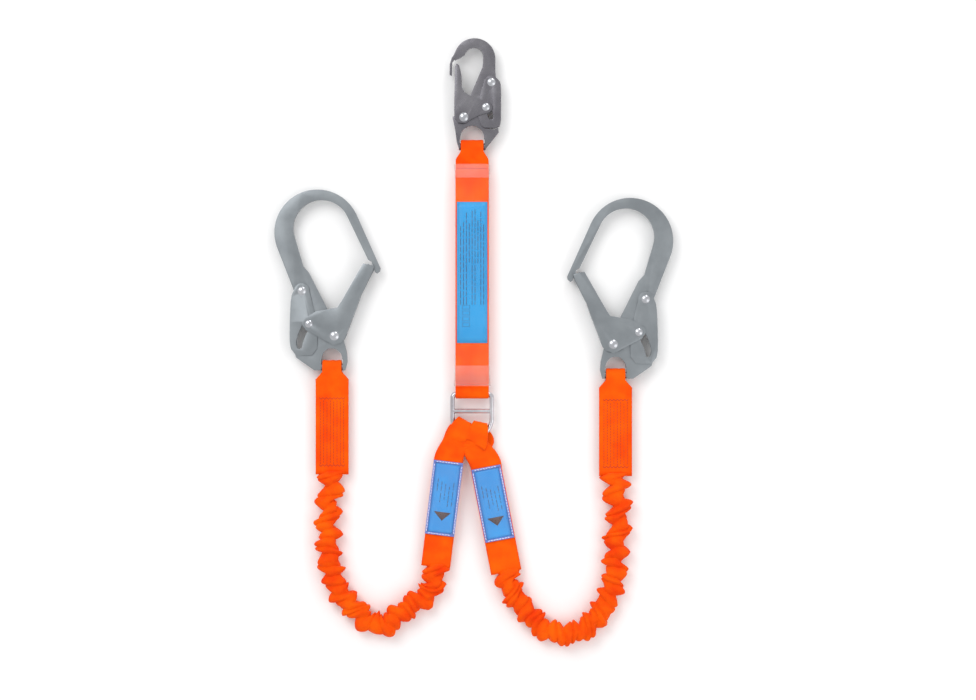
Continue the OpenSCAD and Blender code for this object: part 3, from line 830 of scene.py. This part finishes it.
def make_pouch(side, leg, paints):
    body = f"{side}_leg"
    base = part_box(f"{side}_leg_pouch")[0][2]
    half_w, half_l = 17.75 * MM, 44.5 * MM
    seam = 2.7 * MM
    card_low = Vector((-half_w + seam, -half_l + seam, 0.35 * MM))
    card_high = Vector((half_w - seam, half_l - seam, 0.75 * MM))
    card = placed(plate(f"{side}_pouch_print", card_low, card_high, paints["card"], body,
                        bow=0.25 * MM), leg, base)
    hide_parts(f"{side}_leg_pouch_card")

    ink_z = 1.06 * MM
    bars = []
    rng = np.random.default_rng(7)
    for column, (start, stop) in enumerate(((16, 30), (2, 26), (6, 22), (-2, 20), (0, 28))):
        x = (-9.5 + 4.8 * column) * MM
        y = start * MM
        while y < stop * MM:
            step = (1.6 + 3.2 * rng.random()) * MM
            bars.append(((x, y - 6 * MM, ink_z), 0.35 * MM, step / 2, 0.02 * MM, 0))
            y += step + 1.3 * MM
    placed(small_boxes(f"{side}_pouch_bars", bars, paints["ink"], body), leg, base)
    tri = [(-10.2, -16.6), (10.2, -16.6), (0.4, -27)]
    verts = [(x * MM, y * MM, ink_z + z * MM) for z in (0, 0.06) for x, y in tri]
    faces = [(2, 1, 0), (3, 4, 5), (0, 1, 4, 3), (1, 2, 5, 4), (2, 0, 3, 5)]
    triangle = new_piece(f"{side}_pouch_arrow", verts, faces, paints["mark"], body, None)
    placed(triangle, leg, base)

    window = placed(plate(f"{side}_pouch_window", Vector((-half_w, -half_l, 1.25 * MM)),
                          Vector((half_w, half_l, 1.45 * MM)), paints["vinyl"], body,
                          36, 14, 0.75 * MM), leg, base)
    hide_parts(f"{side}_leg_pouch")
    rim = []
    for sx, sy, hx, hy in ((0, 1, half_w, seam / 2), (0, -1, half_w, seam / 2),
                           (1, 0, seam / 2, half_l - seam), (-1, 0, seam / 2, half_l - seam)):
        rim.append(((sx * (half_w - seam / 2), sy * (half_l - seam / 2), 0.85 * MM),
                    hx, hy, 0.75 * MM, 0))
    placed(small_boxes(f"{side}_pouch_seam", rim, paints["seam"], body, 0.04),
           leg, base)
    dashes = []
    pitch = 3.4 * MM
    for sx in (-1, 1):
        for k in range(int(2 * (half_l - seam) / pitch)):
            y = -half_l + seam + pitch * (k + 0.6)
            dashes.append(((sx * (half_w - seam / 2), y, 1.75 * MM), 0.42 * MM, 1.2 * MM,
                           0.3 * MM, 0.35 * (-1) ** k))
    for sy in (-1, 1):
        for k in range(int(2 * (half_w - seam) / pitch)):
            x = -half_w + seam + pitch * (k + 0.6)
            dashes.append(((x, sy * (half_l - seam / 2), 1.75 * MM), 1.2 * MM, 0.42 * MM,
                           0.3 * MM, 0.35 * (-1) ** k))
    placed(small_boxes(f"{side}_pouch_stitches", dashes, paints["pale_thread"], body,
                       0.25), leg, base)


def make_hook_end(side, paints):
    """The sewn strap between the gathered sleeve and the scaffold hook."""
    body = f"{side}_leg_end"
    low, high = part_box(f"{side}_leg_hook_loop")
    x = (low[0] + high[0]) / 2
    radius = (high[2] - low[2]) / 2 - STRAP_T / 2
    bar = (high[1] - radius - STRAP_T / 2, MID_Z)
    tail = 30 * MM
    loop = straight_loop(f"{side}_hook_loop_strap", x, bar, radius, tail, 11.6 * MM, 19.7 * MM,
                         1, paints["orange"], body,
                         extra=bar[0] - low[1] - tail, tail_gap=1.5 * MM)
    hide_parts(f"{side}_leg_hook_loop")

    stitch_low, stitch_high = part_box(f"{side}_leg_stitching")
    rows = 8
    top = MID_Z + 1.5 * MM + STRAP_T / 2
    dashes = []
    pitch = 3.3 * MM
    first = stitch_low[1]
    length = stitch_high[1] - first - 2 * MM
    for face in (1, -1):
        z = MID_Z + face * (top - MID_Z + 0.08 * MM)
        for k in range(rows):
            sx = x + (k - (rows - 1) / 2) * 4 * MM
            shift = 0.5 * pitch * (k % 2)
            for m in range(int((length - shift) / pitch)):
                dashes.append(((sx, first + shift + pitch * (m + 0.5), z), 0.33 * MM,
                               1.2 * MM, 0.22 * MM, 0.08 * (-1) ** m))
        for m in range(14):
            sx = x + (m - 6.5) * 2.2 * MM
            dashes.append(((sx, first + length + 1.2 * MM, z), 0.33 * MM, 1.5 * MM, 0.22 * MM,
                           0.75 * (-1) ** m))
            dashes.append(((sx, first - 1.2 * MM, z), 0.33 * MM, 1.5 * MM, 0.22 * MM,
                           0.75 * (-1) ** m))
    thread = small_boxes(f"{side}_box_stitches", dashes, paints["thread"], body, 0.2)
    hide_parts(f"{side}_leg_stitching")


def make_leg(side, paints):
    leg = LegFrame(side)
    ring_loop(side, leg, paints)
    make_pouch(side, leg, paints)
    make_hook_end(side, paints)
    paint_node(f"{side}_leg_elastic_core", paints["elastic"])


make_camera()
PAINTS = make_materials()
for leg_side in SIDES:
    gathered_sleeve(leg_side, PAINTS)
make_stage()
make_hooks(PAINTS)
make_absorber(PAINTS)
for leg_side in SIDES:
    make_leg(leg_side, PAINTS)
